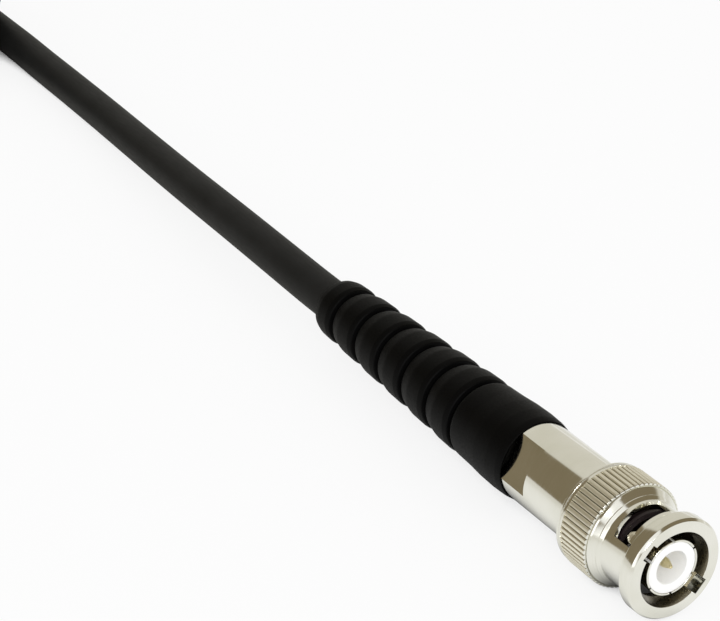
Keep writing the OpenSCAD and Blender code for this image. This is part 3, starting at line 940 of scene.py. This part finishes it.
@dataclass
class CouplingNut(Assembly):
    """The bayonet nut: flange with two entry notches, slotted neck, knurled grip and plain band."""

    flange_front: float = 0.55
    flange_back: float = -1.7
    flange_r: float = 7.3
    bore_r: float = 4.95
    mouth_r: float = 5.47
    cam_r: float = 5.7
    cam_back: float = -6.95
    neck_r: float = 6.2
    rim_front: float = -8.45
    rim_r: float = 7.28
    step_front: float = -7.45
    step_r: float = 6.58
    knurl_front: float = -8.66
    knurl_back: float = -13.8
    nut_back: float = -15.0
    knurl_r: float = 7.7
    knurl_count: int = 62
    groove_depth: float = 0.26
    # The hollow for spring and washer: its two ends and its radius.
    chamber: Triple = (-9.0, -12.7, 6.75)
    journal_r: float = 6.06
    notch_angle: float = 137.5
    notch_w: float = 2.3
    notch_r: float = 6.1
    band_drop: float = 0.22
    detent_sunk: float = 0.02
    slot: CamSlot = field(default_factory=CamSlot)
    facets_per_rib: int = 12

    def profile(self) -> list[tuple]:
        """Draws the nut's section before it is knurled and cut.

        Returns:
            The corners of the section.
        """
        front, back = self.flange_front, self.flange_back
        step, rim, end = self.step_front, self.rim_front, self.nut_back
        chamber_front, chamber_back, chamber_r = self.chamber
        outside = [
            # The flange with its chamfer, and the neck behind it.
            (front, self.mouth_r, 0.06), (front, self.flange_r - 0.3, 0.06),
            (front - 0.38, self.flange_r, 0.14), (back, self.flange_r, 0.2),
            (back, self.neck_r, 0.4), (step + 0.45, self.neck_r, 0.35),
            # The step up to the rim, in two cones with a small shelf between them.
            (step, self.step_r, 0.03), (step - 0.12, self.step_r, 0.03),
            (rim + 0.22, self.rim_r - 0.1, 0.12), (rim, self.rim_r, 0.04),
            (rim - 0.2, self.rim_r + 0.06), (rim - 0.08, self.rim_r + 0.16, 0.03),
            # The grip, and the plain band behind it.
            (self.knurl_front, self.knurl_r, 0.06), (self.knurl_back, self.knurl_r, 0.06),
            (self.knurl_back - 0.08, self.knurl_r - self.band_drop, 0.03),
            (end + 0.6, self.knurl_r - self.band_drop, 0.03),
            (end + 0.55, self.knurl_r - 0.1, 0.05), (end + 0.1, self.knurl_r - 0.14, 0.15),
            (end, self.knurl_r - 0.5, 0.1)]
        inside = [
            (end, self.journal_r, 0.05), (chamber_back, self.journal_r), (chamber_back, chamber_r),
            (chamber_front, chamber_r), (chamber_front, self.bore_r), (self.cam_back, self.bore_r),
            (self.cam_back, self.cam_r), (back + 0.1, self.cam_r), (back + 0.1, self.bore_r, 0.05)]
        return outside + inside

    def knurl(self, bm: BMesh) -> None:
        """Presses the straight knurl into the grip: round ribs with narrow grooves between them.

        Args:
            bm: the turned nut.
        """
        pitch = 2.0 * math.pi / self.knurl_count
        floor_r = self.knurl_r - self.groove_depth
        for vert in bm.verts:
            r = math.hypot(vert.co.y, vert.co.z)
            if vert.co.x > self.rim_front - 0.05 or vert.co.x < self.knurl_back - 0.01 or r <= floor_r:
                continue
            across = abs((math.atan2(vert.co.z, vert.co.y) / pitch) % 1.0 - 0.5) * 2.0
            rise = math.sin(0.5 * math.pi * min(1.0, across / 0.5)) ** 0.8
            rib_r = floor_r + self.groove_depth * rise - 0.03 * (1.0 - across) ** 2
            if r > rib_r:
                vert.co.y *= rib_r / r
                vert.co.z *= rib_r / r

    def notch(self, half: float) -> BMesh:
        """The tool that cuts one entry notch through the flange, turned on by half degrees from the first."""
        low = Vector((self.flange_back + 0.05, 3.5, -self.notch_w / 2.0))
        return block(low, Vector((1.5, self.notch_r, self.notch_w / 2.0)), self.notch_angle + half)

    def build(self) -> None:
        """Turns, knurls and cuts the nut, and gives its cut faces their own finishes, with painted shade in
        the grooves and the bore and a painted highlight on the detents.
        """
        bm = turned(self.profile(), Shape.RING, self.knurl_count * self.facets_per_rib)
        self.knurl(bm)
        tools = []
        for half in HALVES:
            tools.append(self.notch(half))
            tools.append(self.slot.tool(half, self.bore_r - 0.4, self.neck_r + 0.6, self.cam_r))
        bm = combine(bm, joined(tools))
        for half in HALVES:
            bm = combine(bm, self.slot.bump(half, self.cam_r - self.detent_sunk), Join.PLUS)
        tidy(bm)
        made = piece("nut", bm, self.finishes["nickel"], "nut", ["coupling_nut"])
        grip_from, grip_to, grip_r = self.knurl_back + 0.02, self.knurl_front - 0.02, self.knurl_r - 0.4
        groove_r = self.knurl_r - 0.14
        paint(made, self.finishes["nickel_cut"],
              lambda spot: grip_from < spot.x < grip_to and spot.yz.length > grip_r)
        # The knurl's groove floors take painted shade.
        paint(made, self.finishes["nickel_groove"],
              lambda spot: grip_from < spot.x < grip_to and grip_r < spot.yz.length < groove_r)
        # The nut's inner faces take painted shade.
        bore_to, wall_r = self.flange_front - 0.1, self.cam_r + 0.1
        paint(made, self.finishes["nickel_bore"], lambda spot: spot.x < bore_to and spot.yz.length < wall_r)
        # The back of each detent takes the lighter, rougher plate as a painted highlight.
        detents = [self.slot.detent_place(half, self.cam_r - self.detent_sunk).translation for half in HALVES]
        reach, highlight_to = max(self.slot.detent_size) + 0.02, self.slot.detent[0]
        paint(made, self.finishes["nickel_cut"],
              lambda spot: spot.x < highlight_to and min((spot - middle).length for middle in detents) < reach)


@dataclass
class PlugBody(Assembly):
    """The plug's barrel with its two wrench flats, the slotted contact, the insulator and the pin."""

    barrel_r: float = 6.0
    bearing_r: float = 4.87
    shoulder: float = -9.1
    ring_groove: float = -9.4
    barrel_front: float = -10.4
    barrel_end: float = -31.0
    stem_end: float = -40.2
    # The crimp stem's radius inside and outside.
    stem_r: Pair = (1.9, 2.6)
    flats_across: float = 9.76
    flat_front: float = -24.75
    flat_angle: float = 151.5
    contact_r: float = 4.05
    contact_wall: float = 0.3
    slot_w: float = 0.35
    slot_len: float = 4.8
    slot_angles: tuple[float, ...] = (30.0, 90.0, 150.0)
    cavity_floor: float = -5.3
    cavity_r: float = 2.4
    pin_r: float = 0.675

    def barrel(self) -> None:
        """Turns the barrel, the nut's bearing before it and the crimp stem behind, and mills the flats."""
        stem_in, stem_out = self.stem_r
        corners = [
            (-6.95, self.bearing_r), (self.shoulder, self.bearing_r), (self.shoulder, 5.6),
            (self.ring_groove, 5.6), (self.ring_groove, 5.3), (self.barrel_front, 5.3),
            (self.barrel_front, self.barrel_r, 0.1), (self.barrel_end, self.barrel_r, 0.1),
            (self.barrel_end, stem_out), (self.stem_end, stem_out), (self.stem_end, stem_in),
            (-14.7, stem_in), (-14.7, 3.75), (-12.05, 3.75), (-12.05, 4.33), (-6.95, 4.33)]
        bm = turned(corners, Shape.RING, 256)
        low = Vector((self.barrel_end - 1.0, self.flats_across / 2.0, -8.0))
        high = Vector((self.flat_front, 9.0, 8.0))
        bm = combine(bm, joined(block(low, high, self.flat_angle + half) for half in HALVES))
        tidy(bm)
        piece("barrel", bm, self.finishes["nickel"], "root", ["plug_body"])

    def contact(self) -> None:
        """Turns the outer contact and saws its six slots."""
        inner, neck = self.contact_r - self.contact_wall, self.contact_r - 0.05
        corners = [(0.0, self.contact_r, 0.1), (-6.05, self.contact_r), (-6.05, neck), (-7.0, neck),
                   (-7.0, 4.3), (-12.0, 4.3), (-12.0, inner), (0.0, inner, 0.05)]
        bm = turned(corners, Shape.RING, 192)
        half_w = self.slot_w / 2.0
        for turn in self.slot_angles:
            bm = combine(bm, block(Vector((-self.slot_len, -6.0, -half_w)), Vector((1.0, 6.0, half_w)), turn))
        tidy(bm)
        piece("contact", bm, self.finishes["nickel"], "root", ["outer_contact"])

    def insulator(self) -> None:
        """Turns the white insulator with its deep cavity round the pin."""
        outer, bore = self.contact_r - self.contact_wall - 0.03, self.pin_r + 0.05
        corners = [(-0.05, outer, 0.08), (-8.45, outer), (-8.45, bore), (self.cavity_floor, bore),
                   (self.cavity_floor, self.cavity_r, 0.2), (-0.05, self.cavity_r, 0.15)]
        bm = turned(corners, Shape.RING, 128)
        piece("insulator", bm, self.finishes["ptfe"], "root", ["front_insulator"])

    def pin(self) -> None:
        """Turns the centre pin: bullet nose, shaft, and a crimp barrel with the hole for the wire."""
        corners = [(-0.15, 0.0), (-0.15, 0.2, 0.12), (-1.35, self.pin_r, 0.9), (-8.5, self.pin_r),
                   (-8.5, 1.1), (-9.7, 1.1), (-9.7, 1.0), (-14.5, 1.0), (-14.5, 0.45), (-10.3, 0.45),
                   (-10.3, 0.0)]
        bm = turned(corners, Shape.SOLID, 64, 6)
        piece("pin", bm, self.finishes["gold"], "root", ["centre_pin"])

    def build(self) -> None:
        """Makes the plug's fixed metal and its insulator."""
        self.barrel()
        self.contact()
        self.insulator()
        self.pin()


@dataclass
class Boot(Assembly):
    """The moulded strain relief: a smooth grip over the barrel and a row of ring beads that get smaller."""

    front: float = -30.1
    end: float = -83.6
    barrel_r: float = 6.0
    cable_r: float = 3.25
    first_groove: float = -43.7
    pitch: float = 6.97
    beads: int = 6
    first_r: float = 6.05
    drop: float = 0.243
    groove_depth: float = 1.12

    def profile(self) -> list[tuple]:
        """Draws the boot's section, from the lip round its outside and back along its bore.

        Returns:
            The corners of the section.
        """
        start, lip_r, cable_bore = self.first_groove, self.barrel_r + 0.03, self.cable_r + 0.03
        corners = [(self.front, lip_r), (self.front, 6.14, 0.08), (-31.2, 6.33, 2.0), (-33.5, 6.43, 5.0),
                   (-36.5, 6.36, 6.0), (-39.3, 6.15, 5.0), (start + 1.0, 6.02, 0.8),
                   (start + 0.36, 5.62, 0.1)]
        for i in range(self.beads):
            plug_side = start - self.pitch * i
            crown = self.first_r - self.drop * i
            floor_r = crown - self.groove_depth
            corners += [(plug_side + 0.14, floor_r, 0.06), (plug_side - 0.12, floor_r, 0.06),
                        (plug_side - 0.32, crown - 0.2, 0.25), (plug_side - 1.2, crown + 0.02, 0.8)]
            if i < self.beads - 1:
                corners += [(plug_side - 4.2, crown - 0.06, 4.0),
                            (plug_side - self.pitch + 0.9, crown - 0.46, 1.2),
                            (plug_side - self.pitch + 0.36, crown - 0.78, 0.1)]
        return corners + [
            (self.end + 1.6, crown - 0.06, 2.0), (self.end + 0.45, crown - 0.34, 0.6),
            (self.end, crown - 0.75, 0.2), (self.end, cable_bore), (-41.2, cable_bore), (-41.2, 4.2),
            (-31.1, 4.2), (-31.1, lip_r)]

    def build(self) -> None:
        """Makes the boot."""
        bm = turned(self.profile(), Shape.RING, 144, 5)
        piece("boot", bm, self.finishes["boot"], "root", ["plug_boot"])


# ---- pieces that keep their solid's shape


@dataclass(frozen=True)
class Kept:
    """A solid that keeps its shape: its finish, the record's slot, its body and how far edges are rounded."""

    node_name: str
    finish: str
    slot: str
    body: str = "root"
    edge: float = 0.0


@dataclass
class KeptSolids(Assembly):
    """The solids that keep their shape: outer ones are copied and rounded, inner ones only painted."""

    outer: tuple[Kept, ...] = (
        Kept("head_boot", "boot", "black_rubber", edge=0.15),
        Kept("shell_upper", "handle", "dark_plastic", edge=0.12),
        Kept("shell_lower", "handle", "dark_plastic", edge=0.12),
        Kept("nose_sleeve", "nose", "nose_plastic", edge=0.12),
        Kept("ground_barrel", "nickel", "satin_nickel", edge=0.1),
        Kept("tip_insulator", "ptfe", "ptfe", edge=0.08),
        Kept("probe_tip", "gold", "gold_plate"),
        Kept("wave_spring", "steel", "spring_steel"),
        Kept("switch_knob", "knob", "knob_plastic", "knob", 0.1),
    )
    inner: tuple[tuple[str, str], ...] = (
        ("rear_insulator", "ptfe"), ("gasket", "silicone"), ("retaining_ring", "steel"),
        ("thrust_washer", "steel"), ("crimp_ferrule", "nickel"), ("plug_braid", "braid"),
        ("plug_dielectric", "polyethylene"), ("plug_conductor", "copper"), ("plug_jacket", "jacket"),
        ("head_jacket", "jacket"), ("cable_clamp", "nickel"), ("head_dielectric", "polyethylene"),
        ("head_conductor", "copper"), ("circuit_board", "board"), ("tip_resistor", "resistor"),
        ("switch_body", "nylon"), ("trimmer_body", "ceramic"), ("trimmer_screw", "gold"),
    )
    flat_within: float = math.radians(0.3)
    # The wave spring is pressed against the retaining ring as the nut slides forward.
    spring: str = "wave_spring"
    spring_joint: str = "nut_slide"
    spring_seat: float = -10.4
    spring_keep: float = 0.45

    def build(self) -> None:
        """Dresses every solid that keeps its shape."""
        for kept in self.outer:
            bm = bmesh.new()
            bm.from_mesh(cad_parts[kept.node_name].data)
            bmesh.ops.scale(bm, vec=(1.0 / MM,) * 3, verts=bm.verts)
            bmesh.ops.remove_doubles(bm, verts=bm.verts, dist=NEAR)
            bmesh.ops.dissolve_limit(bm, angle_limit=self.flat_within, verts=bm.verts, edges=bm.edges)
            made = piece(f"{kept.node_name}_dressed", bm, self.finishes[kept.finish], kept.body,
                         [kept.node_name])
            if kept.edge > 0.0:
                soften(made, kept.edge)
            if kept.node_name == self.spring:
                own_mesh(made)
        for name, finish in self.inner:
            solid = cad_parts[name]
            solid.data.materials.clear()
            solid.data.materials.append(self.finishes[finish])
            LOG.info("%s: keeps its solid, in %s", name, finish)


def main() -> None:
    """Builds the stage and then every sub-assembly, in order."""
    logging.basicConfig(level=logging.INFO, format="%(name)s %(message)s")
    Stage().build()
    finishes = {name: finish.material() for name, finish in FINISHES.items()}
    for assembly in (Lead, CouplingNut, PlugBody, Boot, KeptSolids):
        assembly(finishes).build()


if __name__ == "__main__":
    main()
